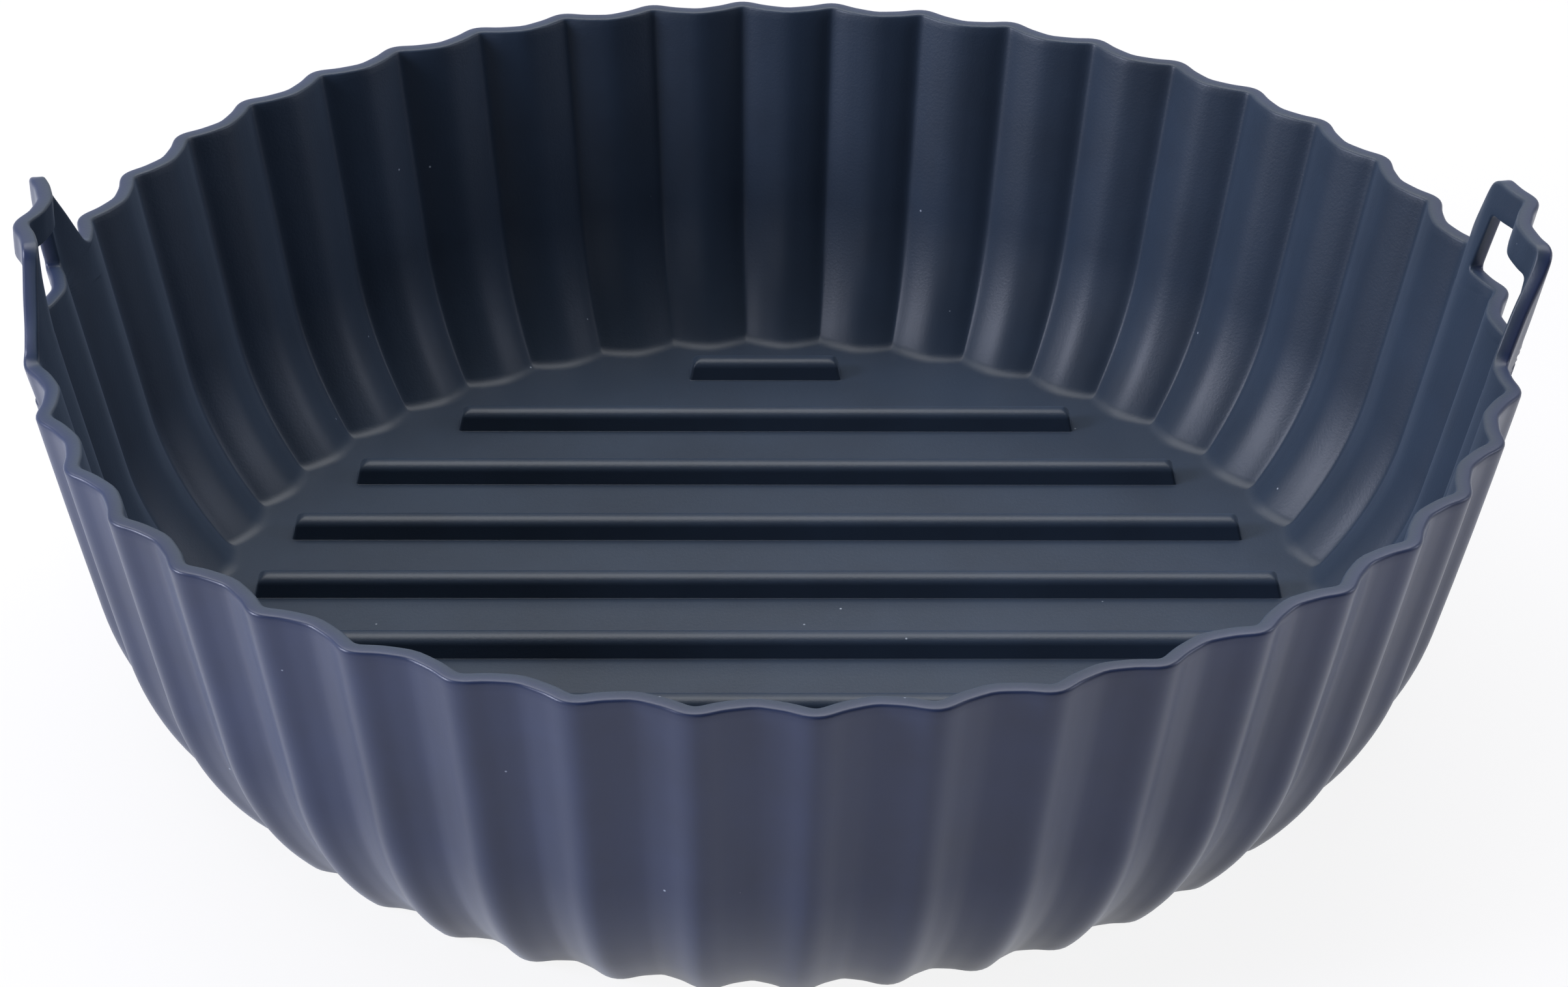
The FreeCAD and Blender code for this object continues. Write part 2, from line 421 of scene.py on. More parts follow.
# A path in the handle's (y, z) plane through corners given as y, z and radius.
# Its pieces are lines (start, end) and arcs (centre, radius, first angle, turn).
def roundedPath(corners, closed):
    points = [np.array(corner[:2], float) for corner in corners]
    joints = []
    for i, (_, _, radius) in enumerate(corners):
        if radius == 0:
            joints.append((points[i], points[i], None))
            continue
        back = unit(points[i - 1] - points[i])
        ahead = unit(points[(i + 1) % len(points)] - points[i])
        half = math.acos(float(back @ ahead)) / 2
        start = points[i] + back * radius / math.tan(half)
        end = points[i] + ahead * radius / math.tan(half)
        centre = points[i] + unit(back + ahead) * radius / math.sin(half)
        first = math.atan2(*(start - centre)[::-1])
        turn = math.remainder(math.atan2(*(end - centre)[::-1]) - first, 2 * math.pi)
        joints.append((start, end, (centre, radius, first, turn)))
    pieces = []
    for i in range(len(points) if closed else len(points) - 1):
        after = joints[(i + 1) % len(points)]
        pieces.append((joints[i][1], after[0]))
        if after[2]:
            pieces.append(after[2])
    return pieces


def pieceLength(piece):
    return float(np.linalg.norm(piece[1] - piece[0])) if len(piece) == 2 else piece[1] * abs(piece[3])


# Point and direction of travel at a share of a piece
def pieceAt(piece, share):
    if len(piece) == 2:
        return piece[0] + (piece[1] - piece[0]) * share, unit(piece[1] - piece[0])
    centre, radius, first, turn = piece
    angle = first + turn * share
    out = np.array([math.cos(angle), math.sin(angle)])
    return centre + out * radius, math.copysign(1.0, turn) * np.array([-out[1], out[0]])


# Places (y, z) on the wall, moved square to it by an offset; the same rule as the flute tree's
def onWall(places, offset):
    middles = np.array([middleRadius(z) for z in places[:, 1]])
    angle = np.arcsin(places[:, 0] / middles)
    wave, steep = waveAt(bowl["flutes"] * angle)
    radius = middles + bowl["fluteDepth"] / 2 * wave
    slope = bowl["fluteDepth"] / 2 * bowl["flutes"] * steep
    radial = np.stack([np.cos(angle), np.sin(angle)], 1)
    sideways = np.stack([-np.sin(angle), np.cos(angle)], 1)
    normal = radius[:, None] * radial - slope[:, None] * sideways
    normal /= np.linalg.norm(normal, axis=1)[:, None]
    level = radius[:, None] * radial + normal * offset
    return np.column_stack([level, places[:, 1]])


# Handle's outer edge from one side of the window to the other: points, directions into the wall, and
# the number of points up to the end of each piece
def handleEdge(firstY, lastY):
    rim = bowl["rimHeight"]
    top = rim + handle["height"]
    corners = [
        (handle["baseWidth"] / 2, rim, handle["rootRadius"]),
        (handle["topWidth"] / 2, top, handle["cornerRadius"]),
    ]
    corners += [(-y, z, radius) for y, z, radius in reversed(corners)]
    corners = [(firstY, rim, 0)] + corners + [(lastY, rim, 0)]
    places, inward, ends = [], [], []
    for piece in roundedPath(corners, False):
        count = max(2, math.ceil(pieceLength(piece) / handle["pointSpacing"]))
        count = count if len(piece) == 2 else max(handle["arcPoints"], count)
        for i in range(count):
            place, travel = pieceAt(piece, i / count)
            places.append(place)
            inward.append((-travel[1], travel[0]))
        ends.append(len(places))
    places.append(np.array([lastY, rim]))
    inward.append((0.0, -1.0))
    return np.array(places), np.array(inward), ends


# Slot's edge, as a function of the length along it, and the lengths at which its pieces end
def slotEdge():
    rim = bowl["rimHeight"]
    base, top = handle["slotBaseWidth"] / 2, handle["slotTopWidth"] / 2
    radius = handle["slotCornerRadius"]
    high = rim + handle["slotHeight"]
    corners = [(-base, rim, radius), (base, rim, radius), (top, high, radius), (-top, high, radius)]
    pieces = roundedPath(corners, True)
    ends = np.cumsum([0.0] + [pieceLength(piece) for piece in pieces])

    def edgeAt(length):
        length %= ends[-1]
        k = min(int(np.searchsorted(ends, length, side="right")) - 1, len(pieces) - 1)
        place, travel = pieceAt(pieces[k], (length - ends[k]) / (ends[k + 1] - ends[k]))
        return place, np.array([travel[1], -travel[0]])

    return edgeAt, ends


# Weaves the wall anew round each handle: opens a window in the bowl's grid of rows and columns,
# carries the rim's roundings on round the handle and the slot, and fills between them.
def weaveHandles(vertices, rowCount, columnCount, marks):
    steps = bowl["roundSteps"]
    before, after = handle["windowColumns"]
    rimMiddle, rimHalfWall = middleRadius(bowl["rimHeight"]), halfWall(bowl["rimHeight"])
    edgePlaces, edgeInward, edgeEnds = handleEdge(
        rimMiddle * math.sin(columnAngle(after)), rimMiddle * math.sin(columnAngle(-before))
    )
    # The edge's two ends are points of the bowl already
    edgePlaces, edgeInward = edgePlaces[1:-1], edgeInward[1:-1]
    slotAt, slotEnds = slotEdge()
    extra, insides, faces = [], [], []
    gone = set()

    # Quads between two rings of as many points; a closed ring has its first point again at its end
    def joinRings(lower, upper):
        faces.extend(zip(lower, lower[1:], upper[1:], upper))

    # One face of the wall in one window. Returns the last ring of the rounding on the handle's edge,
    # and that in the slot.
    def weaveFace(name, columns, side):
        inner = name == "inner"
        step = -1 if inner else 1
        rounding = bowl["rimRoundInside"] if inner else bowl["rimRoundOutside"]
        upRows = list(range(marks[name + "Window"], marks[name + "Round"] + step, step))
        ringRows = [marks[name + "Round"] + step * i for i in range(steps + 1)]
        lowest = min(upRows[0], ringRows[-1])
        for column in columns[:-1]:
            gone.update((column, row) for row in range(lowest, lowest + len(upRows) + steps - 1))

        def ringOffset(i):
            return step * (rimHalfWall - rounding * (1 - math.cos(math.pi / 2 * i / steps)))

        def ringDepth(i):
            return rounding * (1 - math.sin(math.pi / 2 * i / steps))

        # Adds points that stand off the wall's middle at these places, and returns their numbers
        def addPoints(places, offset):
            points = onWall(places, offset) * mm
            points[:, :2] *= side
            first = len(vertices) + len(extra)
            extra.extend(points)
            insides.extend([float(inner)] * len(points))
            return list(range(first, first + len(points)))

        def bowlPoint(column, row):
            return column * rowCount + row

        def bowlPlace(point):
            z = float(vertices[point][2] / mm)
            angle = columnAngle(point // rowCount - columns[before])
            return np.array([middleRadius(z) * math.sin(angle), z])

        # Rings round the handle's edge, which end in the rim's own rows at the window's sides
        rings = []
        for i, row in enumerate(ringRows):
            points = addPoints(edgePlaces + edgeInward * ringDepth(i), ringOffset(i))
            rings.append([bowlPoint(columns[-1], row), *points, bowlPoint(columns[0], row)])
        for lower, upper in zip(rings, rings[1:]):
            joinRings(lower, upper)

        # The window's border: bottom, right side, the handle's first ring, left side
        bottom = [bowlPoint(column, upRows[0]) for column in columns]
        right = [bowlPoint(columns[-1], row) for row in upRows[1:-1]]
        left = [bowlPoint(columns[0], row) for row in reversed(upRows[1:-1])]
        border = bottom + right + rings[0] + left
        borderPlaces = np.vstack([
            [bowlPlace(point) for point in bottom + right + rings[0][:1]],
            edgePlaces + edgeInward * ringDepth(0),
            [bowlPlace(point) for point in rings[0][-1:] + left],
        ])

        # Each stretch of the border faces a stretch of the slot's edge. An anchor is a point of the
        # border, the piece of the slot's edge that it faces, and the share of that piece before it.
        bottomShare, sideShare, rootShare = handle["weaveShares"]
        last = len(bottom) - 1
        start = last + len(right) + 1
        anchors = [
            (0, 0, bottomShare),
            (last, 0, 1 - bottomShare),
            (start, 1, sideShare),
            (start + edgeEnds[0], 1, rootShare),
            (start + edgeEnds[1], 2, 0.0),
            (start + (edgeEnds[2] + edgeEnds[3]) // 2, 3, 0.5),
            (start + (edgeEnds[4] + edgeEnds[5]) // 2, 5, 0.5),
            (start + edgeEnds[6], 7, 0.0),
            (start + edgeEnds[7], 7, 1 - rootShare),
            (start + edgeEnds[8], 7, 1 - sideShare),
            (len(border), 8, bottomShare),
        ]
        laps = [*slotEnds, slotEnds[-1] + slotEnds[1]]  # the first piece comes again as piece 8
        facing = [laps[piece] + share * (laps[piece + 1] - laps[piece]) for _, piece, share in anchors]
        closed = np.vstack([borderPlaces, borderPlaces[:1]])
        along = np.append(0.0, np.cumsum(np.linalg.norm(np.diff(closed, axis=0), axis=1)))
        lengths = np.interp(along[:-1], [along[k] for k, _, _ in anchors], facing)
        slotPlaces, slotInward = (np.array(part) for part in zip(*map(slotAt, lengths)))

        # The web between the border and the collar, then the rounding of the slot's edge
        collar = slotPlaces + slotInward * (ringDepth(0) + handle["collar"])
        web = [border]
        for i in range(1, handle["weaveRows"]):
            share = i / (handle["weaveRows"] - 1)
            web.append(addPoints(borderPlaces * (1 - share) + collar * share, ringOffset(0)))
        for i in range(steps + 1):
            web.append(addPoints(slotPlaces + slotInward * ringDepth(i), ringOffset(i)))
        web = [ring + ring[:1] for ring in web]
        for lower, upper in zip(web, web[1:]):
            joinRings(lower, upper)
        return rings[-1], web[-1]

    for quarter, side in ((1, 1.0), (3, -1.0)):
        middle = columnCount * quarter // 4
        columns = list(range(middle - before, middle + after + 1))
        outerEdge, outerSlot = weaveFace("outer", columns, side)
        innerEdge, innerSlot = weaveFace("inner", columns, side)

        # The flat strip between the two roundings, on the handle's edge and in the slot
        joinRings(outerEdge, innerEdge)
        joinRings(outerSlot, innerSlot)
        gone.update((column, marks["outerRound"] + steps) for column in columns[:-1])
    return extra, insides, faces, gone


def makeBowl(material):
    rows, marks = bowlSection()
    rowCount = len(rows)
    section = bpy.data.meshes.new("bowlSection")
    places = [(radius * mm, 0.0, z * mm) for radius, _, z, _, _ in rows]
    section.from_pydata(places, [(i, i + 1) for i in range(rowCount - 1)], [])
    for name, values in (
        ("offset", [row[1] * mm for row in rows]),
        ("wave", [row[3] for row in rows]),
        ("inside", [row[4] for row in rows]),
    ):
        section.attributes.new(name, "FLOAT", "POINT").data.foreach_set("value", values)
    columnCount = bowl["flutes"] * bowl["columnsPerFlute"]
    swept = runTree("bowl", section, fluteTree(), {
        "Columns": columnCount,
        "Flutes": bowl["flutes"],
        "Flute depth": bowl["fluteDepth"] * mm,
        "Second wave": bowl["crestSharpness"][0],
        "Third wave": bowl["crestSharpness"][1],
        "Crowding": bowl["columnCrowding"],
        "Start angle": -math.pi / 2,
        "Material": material,
    })
    vertices = np.array([v.co for v in swept.vertices])
    extra, insides, faces, gone = weaveHandles(vertices, rowCount, columnCount, marks)
    for column in range(columnCount):
        for row in range(rowCount - 1):
            if (column, row) not in gone:
                k = column * rowCount + row
                faces.append((k, k + rowCount, k + rowCount + 1, k + 1))
    mesh = bpy.data.meshes.new("bowlWithHandles")
    mesh.from_pydata(np.vstack([vertices, extra]).tolist(), [], [list(map(int, face)) for face in faces])
    values = [rows[k % rowCount][4] for k in range(len(vertices))] + insides
    mesh.attributes.new("inside", "FLOAT", "POINT").data.foreach_set("value", values)
    mesh.materials.append(material)
    return mesh


# Ribs on the floor
ribs = {
    "count": 10,
    "pitch": 16.65,
    "width": 4.4,  # at the floor
    "height": 3.2,  # as the photograph shows them; the solid's are 2.4
    "draft": 13.0,
    "topRound": 1.6,
    "footRound": 0.15,
    "footSteps": 5,
    "topSteps": 8,
    "cornerRound": 0.5,  # in plan
    "cornerShare": 0.8,  # of the half width at a height, which the corner's rounding never passes
    "cornerSteps": 6,
    "skirt": 0.5,  # the foot's edge runs on this far, just under the floor
    "skirtDrop": 0.02,
    "sink": 1.0,
    "fieldMargin": 6.0,  # edge of the floor to the circle that the ribs fill
    "endMargin": 0.9,
    "stub": 3.0,  # half length of the short rib that the tree lengthens
}


# A short rib as rings from its sunk foot to its top; the tree draws it out to each length.
# A ring is how far it lies in from the rib's outline at the floor, and its height above the floor.
def stubMesh():
    slope = math.radians(ribs["draft"])
    foot, top, height = ribs["footRound"], ribs["topRound"], ribs["height"]
    reach = foot / math.tan((math.pi / 2 + slope) / 2)
    rings = [
        (-reach - ribs["skirt"], -ribs["sink"]),
        (-reach - ribs["skirt"], -ribs["skirtDrop"]),
        (-reach - ribs["skirt"] / 2, -ribs["skirtDrop"] / 4),
    ]
    for i in range(ribs["footSteps"] + 1):
        turn = -math.pi / 2 + (math.pi / 2 - slope) * i / ribs["footSteps"]
        rings.append((-reach + foot * math.cos(turn), foot * (1 + math.sin(turn))))
    topCentre = (top + (height - top) * math.sin(slope)) / math.cos(slope)
    for i in range(ribs["topSteps"] + 1):
        turn = math.pi - slope - (math.pi / 2 - slope) * i / ribs["topSteps"]
        rings.append((topCentre + top * math.cos(turn), height - top + top * math.sin(turn)))

    points = []
    cornerSteps = ribs["cornerSteps"]
    for inset, z in rings:
        halfLength, halfWidth = ribs["stub"] - inset, ribs["width"] / 2 - inset
        corner = min(ribs["cornerRound"] + max(0.0, -inset), ribs["cornerShare"] * halfWidth)
        for quadrant, (sx, sy) in enumerate(((1, 1), (-1, 1), (-1, -1), (1, -1))):
            for i in range(cornerSteps + 1):
                turn = math.pi / 2 * (quadrant + i / cornerSteps)
                points.append((
                    (sx * (halfLength - corner) + corner * math.cos(turn)) * mm,
                    (sy * (halfWidth - corner) + corner * math.sin(turn)) * mm,
                    (bowl["floor"] + z) * mm,
                ))
    count = 4 * (cornerSteps + 1)
    faces = [list(reversed(range(count))), list(range(len(points) - count, len(points)))]
    for ring in range(len(rings) - 1):
        for i in range(count):
            a, b = ring * count + i, ring * count + (i + 1) % count
            faces.append([a, b, b + count, a + count])
    mesh = bpy.data.meshes.new("ribStub")
    mesh.from_pydata(points, [], faces)
    return mesh


# Geometry Nodes: a row of stubs along Y, each drawn out along X to the chord of the rib field
def ribTree():
    tree, given = startTree("floorRibs", {
        "Count": "NodeSocketInt",
        "Pitch": "NodeSocketFloat",
        "Field radius": "NodeSocketFloat",
        "Side reach": "NodeSocketFloat",
        "Stub half length": "NodeSocketFloat",
        "Material": "NodeSocketMaterial",
    })
    gaps = addNode(tree, "ShaderNodeMath", {0: given["Count"], 1: 1.0}, operation="SUBTRACT")
    spread = addNode(tree, "ShaderNodeMath", {0: gaps, 1: given["Pitch"]}, operation="MULTIPLY")
    firstY = addNode(tree, "ShaderNodeMath", {0: spread, 1: -0.5}, operation="MULTIPLY")
    start = addNode(tree, "ShaderNodeCombineXYZ", {"Y": firstY})
    step = addNode(tree, "ShaderNodeCombineXYZ", {"Y": given["Pitch"]})
    line = addNode(tree, "GeometryNodeMeshLine", {
        "Count": given["Count"], "Start Location": start, "Offset": step,
    }, mode="OFFSET")

    # Half the chord at each rib's outer side, less the stub's own half length
    place = addNode(tree, "GeometryNodeInputPosition")
    parts = addNode(tree, "ShaderNodeSeparateXYZ", {0: place})
    across = addNode(tree, "ShaderNodeMath", {0: parts.outputs["Y"]}, operation="ABSOLUTE")
    reach = addNode(tree, "ShaderNodeMath", {0: across, 1: given["Side reach"]}, operation="ADD")
    reachSquare = addNode(tree, "ShaderNodeMath", {0: reach, 1: 2.0}, operation="POWER")
    fieldSquare = addNode(tree, "ShaderNodeMath", {0: given["Field radius"], 1: 2.0}, operation="POWER")
    chordSquare = addNode(tree, "ShaderNodeMath", {0: fieldSquare, 1: reachSquare}, operation="SUBTRACT")
    chord = addNode(tree, "ShaderNodeMath", {0: chordSquare}, operation="SQRT")
    draw = addNode(tree, "ShaderNodeMath", {0: chord, 1: given["Stub half length"]}, operation="SUBTRACT")
    measured = addNode(tree, "GeometryNodeStoreNamedAttribute", {
        "Geometry": line, "Name": "draw", "Value": draw,
    }, data_type="FLOAT", domain="POINT")
    placed = addNode(tree, "GeometryNodeInstanceOnPoints", {
        "Points": measured, "Instance": given["Geometry"],
    })

    # Realized first, so that each half of a rib can move by its rib's own measure
    real = addNode(tree, "GeometryNodeRealizeInstances", {"Geometry": placed})
    stored = addNode(tree, "GeometryNodeInputNamedAttribute", {"Name": "draw"}, data_type="FLOAT")
    end = addNode(tree, "ShaderNodeMath", {0: parts.outputs["X"]}, operation="SIGN")
    pull = addNode(tree, "ShaderNodeMath", {0: end, 1: stored}, operation="MULTIPLY")
    offset = addNode(tree, "ShaderNodeCombineXYZ", {"X": pull})
    drawn = addNode(tree, "GeometryNodeSetPosition", {"Geometry": real, "Offset": offset})
    marked = addNode(tree, "GeometryNodeStoreNamedAttribute", {
        "Geometry": drawn, "Name": "inside", "Value": 1.0,
    }, data_type="FLOAT", domain="POINT")
    painted = addNode(tree, "GeometryNodeSetMaterial", {
        "Geometry": marked, "Material": given["Material"],
    })
    addNode(tree, "NodeGroupOutput", {"Geometry": painted})
    return tree


def makeRibs(material):
    fieldRadius = faceRadius(bowl["floor"], bowl["wall"]) - ribs["fieldMargin"]
    return runTree("ribs", stubMesh(), ribTree(), {
        "Count": ribs["count"],
        "Pitch": ribs["pitch"] * mm,
        "Field radius": fieldRadius * mm,
        "Side reach": (ribs["width"] / 2 + ribs["endMargin"]) * mm,
        "Stub half length": ribs["stub"] * mm,
        "Material": material,
    })


# How the soft moulding stands when it is put down empty. It keeps to the sizes above at its base and
# spreads towards the rim, in millimetres: each pair is the part that goes with the cosine and with
# the sine of the angle round the axis.
soft = {
    "shift": (0.3, 0.9),  # the rim's middle from the base's, along x and y
    "xOnce": (1.45, -0.4),
    "xTwice": (0.0, -0.5),
    "yOnce": (0.0, -0.85),
    "yTwice": (0.8, -0.2),
    "restHeight": 4.8,  # nothing below this moves
    "leftLean": 2.5,  # the left handle's top leans in by this much
    "leanStart": 3.0,  # below the rim
}


def settle(points):
    x, y, z = points.T / mm
    angle = np.arctan2(y, x)
    rise = np.clip((z - soft["restHeight"]) / (bowl["rimHeight"] - soft["restHeight"]), 0, 1)
    share = 1 - (1 - rise) ** 2

    def waves(constant, once, twice):
        single = once[0] * np.cos(angle) + once[1] * np.sin(angle)
        double = twice[0] * np.cos(2 * angle) + twice[1] * np.sin(2 * angle)
        return share * (constant + single + double)

    moveX = waves(soft["shift"][0], soft["xOnce"], soft["xTwice"])
    moveY = waves(soft["shift"][1], soft["yOnce"], soft["yTwice"])
    leanSpan = handle["height"] + soft["leanStart"]
    above = np.clip(z - bowl["rimHeight"] + soft["leanStart"], 0, None) / leanSpan
    nearHandle = np.clip(1 - np.abs(y) / handle["baseWidth"], 0, 1)
    moveX += np.where(x < 0, soft["leftLean"] * above ** 2 * nearHandle, 0)
    return np.column_stack([x + moveX, y + moveY, z]) * mm


# Material
# Filled silicone rubber, moulded in a spark-eroded steel mould: a dull dark slate blue that turns
# paler at a glancing angle, frosted by a fine grain on the food side, with slow changes of tone and
# a few specks of pale dust. The outside's colour is bluer and more violet than the inside's: a
# painted violet cast of light. "inside" on the mesh is 1 on the food side and 0 on the outside.
silicone = {
    "colour": "#222F40",
    # The outside's colour, bluer and more violet than the inside's, with a painted violet cast of light in
    # it
    "outsideColourWithPaintedCast": "#202B48",
    "cloudSize": 22.0,
    "cloudDepth": 0.12,  # share by which the tone changes
    "cloudRange": (0.35, 0.65),  # of the noise, from the darkest tone to the palest
    "roughness": 0.44,
    "outsideRoughness": 0.34,
    "ior": 1.43,
    "bloom": 0.17,  # pale haze at a glancing angle
    "bloomColour": "#B4C4E0",
    "grainSize": 0.45,  # the real grain is about 0.1 mm, drawn as coarse as it needs to show
    "grainInside": 0.028,
    "grainOutside": 0.005,
    "dustSpacing": 5.0,
    "dustSize": 0.22,
    "dustCore": 0.4,  # share of a speck's radius within which it is solid
    "dustShare": 0.22,  # of the places that could hold a speck
    "dustColour": "#A3ACBA",
}


def makeSilicone():
    material = bpy.data.materials.new("mouldedSilicone")
    material.use_nodes = True
    tree = material.node_tree
    tree.nodes.clear()
    place = addNode(tree, "ShaderNodeTexCoord").outputs["Object"]
    inside = addNode(tree, "ShaderNodeAttribute", attribute_name="inside").outputs["Fac"]

    # Slow changes of tone
    clouds = addNode(tree, "ShaderNodeTexNoise", {
        "Vector": place, "Scale": 1 / (silicone["cloudSize"] * mm), "Detail": 4.0, "Roughness": 0.6,
    })
    darkest, palest = silicone["cloudRange"]
    tone = addNode(tree, "ShaderNodeMapRange", {
        0: clouds, 1: darkest, 2: palest, 3: 1 - silicone["cloudDepth"], 4: 1 + silicone["cloudDepth"],
    })
    # The inside's colour, and the outside's with its painted violet cast of light
    faced = addNode(tree, "ShaderNodeMix", {
        0: inside, 6: toLinear(silicone["outsideColourWithPaintedCast"]), 7: toLinear(silicone["colour"]),
    }, data_type="RGBA")
    colour = addNode(tree, "ShaderNodeVectorMath", {0: faced.outputs[2], "Scale": tone}, operation="SCALE")
    dullness = addNode(tree, "ShaderNodeMapRange", {
        0: inside, 3: silicone["outsideRoughness"], 4: silicone["roughness"],
    })

    # Dust: a speck near the middle of a few cells
    cells = addNode(tree, "ShaderNodeTexVoronoi", {
        "Vector": place, "Scale": 1 / (silicone["dustSpacing"] * mm),
    })
    reach = silicone["dustSize"] / silicone["dustSpacing"]
    near = addNode(tree, "ShaderNodeMapRange", {0: cells, 1: reach, 2: silicone["dustCore"] * reach})
    pick = addNode(tree, "ShaderNodeSeparateColor", {0: cells.outputs["Color"]})
    chosen = addNode(tree, "ShaderNodeMath", {0: pick, 1: silicone["dustShare"]}, operation="LESS_THAN")
    speck = addNode(tree, "ShaderNodeMath", {0: near, 1: chosen}, operation="MULTIPLY")
    dusty = addNode(tree, "ShaderNodeMix", {
        0: speck, 6: colour, 7: toLinear(silicone["dustColour"]),
    }, data_type="RGBA")

    # Grain of the mould, deeper on the food side
    grain = addNode(tree, "ShaderNodeTexNoise", {
        "Vector": place, "Scale": 1 / (silicone["grainSize"] * mm), "Detail": 3.0, "Roughness": 0.65,
    })
    depth = addNode(tree, "ShaderNodeMapRange", {
        0: inside, 3: silicone["grainOutside"], 4: silicone["grainInside"],
    })
    height = addNode(tree, "ShaderNodeMath", {0: grain, 1: depth}, operation="MULTIPLY")
    bump = addNode(tree, "ShaderNodeBump", {"Height": height, "Strength": 1.0, "Distance": mm})
    shader = addNode(tree, "ShaderNodeBsdfPrincipled", {
        "Base Color": dusty.outputs[2],
        "Roughness": dullness,
        "IOR": silicone["ior"],
        "Sheen Weight": silicone["bloom"],
        "Sheen Tint": toLinear(silicone["bloomColour"]),
        "Normal": bump,
    })
    addNode(tree, "ShaderNodeOutputMaterial", {"Surface": shader})
    return material


def makeLiner():
    material = makeSilicone()
    work = bmesh.new()
    for mesh in (makeBowl(material), makeRibs(material)):
        work.from_mesh(mesh)
    bmesh.ops.delete(work, geom=[v for v in work.verts if not v.link_faces], context="VERTS")
    bmesh.ops.remove_doubles(work, verts=work.verts, dist=bowl["weld"] * mm)
    settled = settle(np.array([v.co for v in work.verts]))
    for vertex, place in zip(work.verts, settled):
        vertex.co = place
    bmesh.ops.recalc_face_normals(work, faces=work.faces)
    for face in work.faces:
        face.smooth = True
    finished = bpy.data.meshes.new("linerMoulding")
    work.to_mesh(finished)
    openEdges = sum(len(edge.link_faces) != 2 for edge in work.edges)
    print("liner:", len(work.faces), "faces,", openEdges, "open edges")
    work.free()
    finished.materials.append(material)
    liner = bpy.data.objects.new("linerMoulding", finished)
    bpy.context.scene.collection.objects.link(liner)
    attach(liner, "root")
    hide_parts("liner")


makeLiner()
print("liner made")


# Floor and light
studio = {
    "floorColour": "#EAE8F5",
    "floorHalf": 3.0,  # metres
    "floorDrop": 0.1,  # under the liner, so that its underside and the floor don't share a plane
    "shadowKept": 0.12,  # share of the floor's own shading that the camera sees near the liner
    "shadowReach": (0.12, 0.40),  # metres from the middle, over which the shading fades out
    "worldColour": "#FFFFFF",
    "worldStrength": 0.30,
    "seenStrength": 0.65,  # of the world in reflections
    "frontShare": 0.1,  # of the world in front of the object, where a studio is dim
    "frontRange": (-0.45, 0.25),  # heading along Y over which the world goes from dim to full
}
# name: place and aim in metres, size, watts, colour
lamps = {
    "topSoftbox": ((-0.10, 0.36, 1.07), (0.0, 0.0, 0.0), (1.50, 0.80), 14.5, "#FFFFFF"),
    "leftSoftbox": ((-0.91, -0.24, 0.43), (0.04, 0.02, 0.03), (0.32, 0.44), 10.0, "#E8ECFF"),
    "rightSoftbox": ((0.95, -0.02, 0.40), (-0.04, 0.02, 0.03), (0.30, 0.42), 2.1, "#E8ECFF"),
    "frontSoftbox": ((-0.40, -0.92, 0.29), (0.0, 0.10, 0.045), (0.60, 0.12), 0.8, "#F0F3FF"),
}


# What is seen, straight or through a reflection or a pane, as 1, against light that only falls, as 0
def seenRays(tree, rays):
    straight = addNode(tree, "ShaderNodeMath", {
        0: rays.outputs["Is Camera Ray"], 1: rays.outputs["Is Glossy Ray"],
    }, operation="MAXIMUM")
    return addNode(tree, "ShaderNodeMath", {
        0: straight, 1: rays.outputs["Is Transmission Ray"],
    }, operation="MAXIMUM")


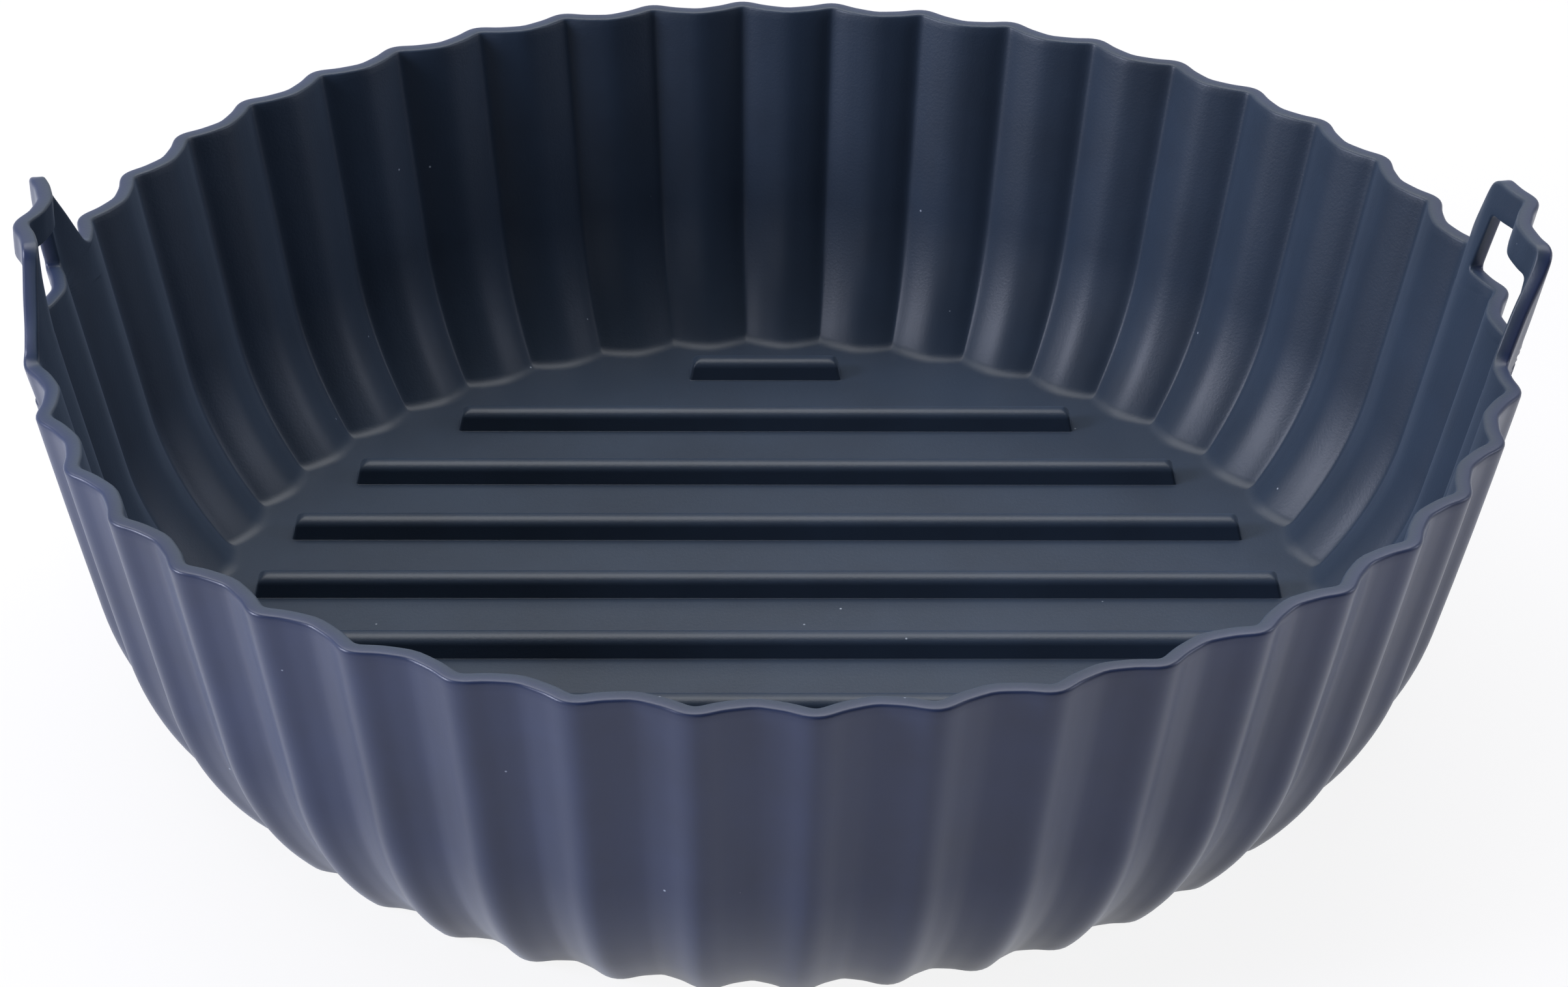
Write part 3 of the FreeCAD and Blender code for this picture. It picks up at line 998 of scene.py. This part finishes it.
# A pale painted board. It lights the liner by its own colour, and is seen as white but for a soft
# shadow near the liner.
def makeFloor():
    material = bpy.data.materials.new("paintedBoard")
    material.use_nodes = True
    tree = material.node_tree
    tree.nodes.clear()
    board = addNode(tree, "ShaderNodeBsdfDiffuse", {"Color": toLinear(studio["floorColour"])})
    white = addNode(tree, "ShaderNodeEmission", {"Color": (1, 1, 1, 1), "Strength": 1.0})
    seen = seenRays(tree, addNode(tree, "ShaderNodeLightPath"))
    place = addNode(tree, "ShaderNodeTexCoord").outputs["Object"]
    away = addNode(tree, "ShaderNodeVectorMath", {0: place}, operation="LENGTH").outputs["Value"]
    near, far = studio["shadowReach"]
    plain = addNode(tree, "ShaderNodeMapRange", {
        0: away, 1: near, 2: far, 3: 1 - studio["shadowKept"], 4: 1.0,
    }, interpolation_type="SMOOTHSTEP")
    share = addNode(tree, "ShaderNodeMath", {0: seen, 1: plain}, operation="MULTIPLY")
    mixed = addNode(tree, "ShaderNodeMixShader", {0: share, 1: board, 2: white})
    addNode(tree, "ShaderNodeOutputMaterial", {"Surface": mixed})
    mesh = bpy.data.meshes.new("floor")
    half = studio["floorHalf"]
    corners = [(-half, -half, 0), (half, -half, 0), (half, half, 0), (-half, half, 0)]
    mesh.from_pydata(corners, [], [(0, 1, 2, 3)])
    mesh.materials.append(material)
    floor = bpy.data.objects.new("floor", mesh)
    floor.location.z = -studio["floorDrop"] * mm
    bpy.context.scene.collection.objects.link(floor)


def makeLamp(name, place, aim, size, power, colour):
    data = bpy.data.lights.new(name, "AREA")
    data.shape = "RECTANGLE"
    data.size, data.size_y = size
    data.energy = power
    data.color = toLinear(colour)[:3]
    lamp = bpy.data.objects.new(name, data)
    bpy.context.scene.collection.objects.link(lamp)
    lamp.location = place
    lamp.rotation_euler = (Vector(aim) - Vector(place)).to_track_quat("-Z", "Y").to_euler()


def makeLight():
    world = bpy.data.worlds.new("studio")
    world.use_nodes = True
    bpy.context.scene.world = world
    tree = world.node_tree
    tree.nodes.clear()
    rays = addNode(tree, "ShaderNodeLightPath")
    strength = addNode(tree, "ShaderNodeMapRange", {
        0: seenRays(tree, rays), 3: studio["worldStrength"], 4: studio["seenStrength"],
    })
    direction = addNode(tree, "ShaderNodeTexCoord").outputs["Generated"]
    heading = addNode(tree, "ShaderNodeSeparateXYZ", {0: direction})
    front, back = studio["frontRange"]
    dimmed = addNode(tree, "ShaderNodeMapRange", {
        0: heading.outputs["Y"], 1: front, 2: back, 3: studio["frontShare"], 4: 1.0,
    }, interpolation_type="SMOOTHSTEP")
    lit = addNode(tree, "ShaderNodeMath", {0: dimmed, 1: strength}, operation="MULTIPLY")
    plain = addNode(tree, "ShaderNodeMath", {
        0: lit, 1: rays.outputs["Is Camera Ray"],
    }, operation="MAXIMUM")
    sky = addNode(tree, "ShaderNodeBackground", {
        "Color": toLinear(studio["worldColour"]), "Strength": plain,
    })
    addNode(tree, "ShaderNodeOutputWorld", {"Surface": sky})
    for name, lamp in lamps.items():
        makeLamp(name, *lamp)


makeFloor()
makeLight()
print("stage and light made")

view = bpy.context.scene.view_settings
view.view_transform = "Standard"
